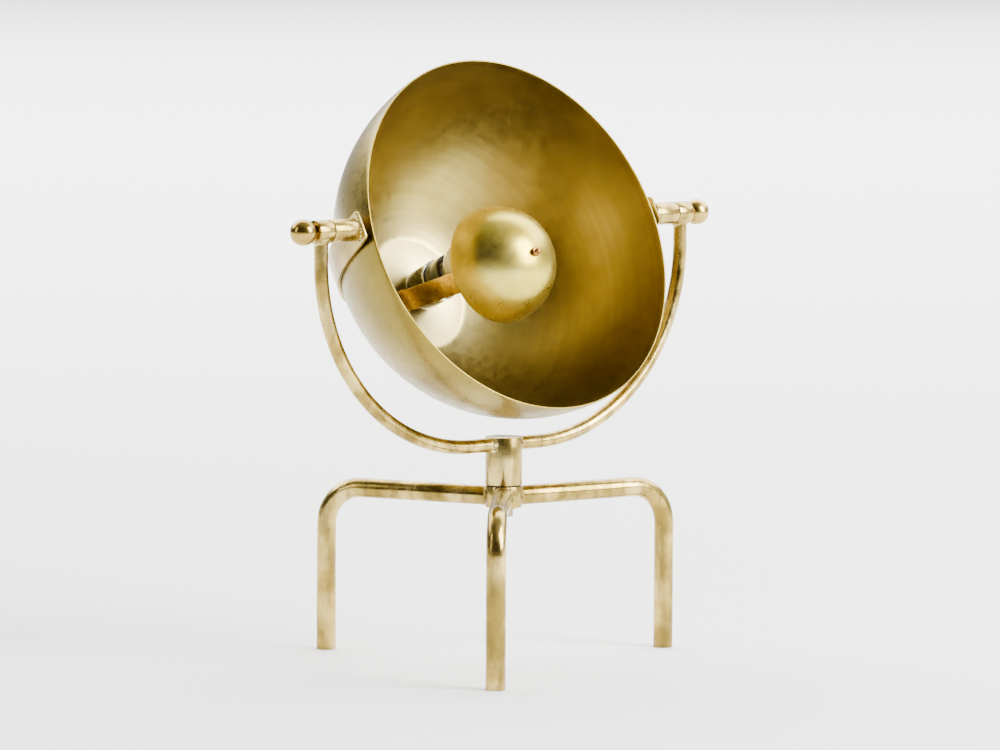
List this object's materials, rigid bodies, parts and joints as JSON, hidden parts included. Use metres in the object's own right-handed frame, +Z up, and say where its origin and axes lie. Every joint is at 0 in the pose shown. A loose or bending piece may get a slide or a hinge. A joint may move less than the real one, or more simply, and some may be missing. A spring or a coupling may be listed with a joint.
{
  "type": "desk lamp",
  "caption": "Brass dome shade desk lamp: three-legged tube stand, swivelling U-shaped yoke, tilting spun dome with ball knobs, and a bowl shield in front of the bulb.",
  "frame": {"origin": "on the table, under the swivel axis of the hub", "axes": "+Z up along the swivel axis, -Y towards the front leg and the viewer, +X to the viewer's right"},
  "size_m": [0.4054, 0.3796, 0.5838],
  "materials": {
    "champagne_brass": "satin, hand finished, pale",
    "spun_brass": "spun and brushed, antique",
    "shield_brass": "polished satin",
    "strip_brass": "satin strip",
    "socket_brass": "plain",
    "copper_nut": "dull, coppery",
    "plated_steel": "zinc plated",
    "bronzed_steel": "bronzed, satin",
    "chrome_trim": "bright",
    "black_plastic": "moulded, glossy",
    "dark_fibre": "pressed fibre",
    "ceramic": "glazed ceramic",
    "opal_glass": "opal"
  },
  "bodies": {
    "stand": {"base_collar": "champagne_brass", "swivel_washer": "dark_fibre", "leg_front": "champagne_brass", "leg_right": "champagne_brass", "leg_left": "champagne_brass", "foot_plugs": "black_plastic"},
    "yoke": {"yoke_collar": "champagne_brass", "swivel_bolt": "plated_steel", "under_washer": "plated_steel", "spring_washer": "plated_steel", "yoke_arm_left": "champagne_brass", "yoke_arm_right": "champagne_brass", "yoke_eye_left": "champagne_brass", "yoke_eye_right": "champagne_brass"},
    "shade": {"back_strap": "champagne_brass", "spacer_left": "champagne_brass", "spacer_right": "champagne_brass", "pivot_stud_left": "plated_steel", "pivot_stud_right": "plated_steel", "pivot_washers": "dark_fibre", "shade_dome": "spun_brass", "cord_rod": "plated_steel", "rod_washer": "plated_steel", "rod_nut": "plated_steel", "cord_bushing": "black_plastic", "holder_cap": "bronzed_steel", "holder_ring": "chrome_trim", "holder_socket": "black_plastic", "socket_insulator": "ceramic", "socket_sleeve": "socket_brass", "socket_contact": "socket_brass", "bulb_cap": "plated_steel", "bulb_glass": "opal_glass", "shield_bracket": "strip_brass", "shield_bowl": "shield_brass", "shield_spacer": "socket_brass", "shield_nut": "copper_nut", "shield_screw": "copper_nut"},
    "left_knob": {"knob_left": "champagne_brass"},
    "right_knob": {"knob_right": "champagne_brass"}
  },
  "joints": [
    {"name": "yoke_swivel", "type": "hinge", "parent": "stand", "child": "yoke", "pos_m": [0, 0, 0.162], "axis": [0, 0, 1], "continuous": true},
    {"name": "shade_tilt", "type": "hinge", "parent": "yoke", "child": "shade", "pos_m": [0, 0, 0.429], "axis": [-0.7581, -0.6521, 0], "range_deg": [-114, 66]},
    {"name": "left_knob_turn", "type": "hinge", "parent": "shade", "child": "left_knob", "pos_m": [-0.17363, -0.14935, 0.429], "axis": [-0.7581, -0.6521, 0], "range_deg": [0, 360]},
    {"name": "right_knob_turn", "type": "hinge", "parent": "shade", "child": "right_knob", "pos_m": [0.17363, 0.14935, 0.429], "axis": [0.7581, 0.6521, 0], "range_deg": [0, 360]}
  ]
}
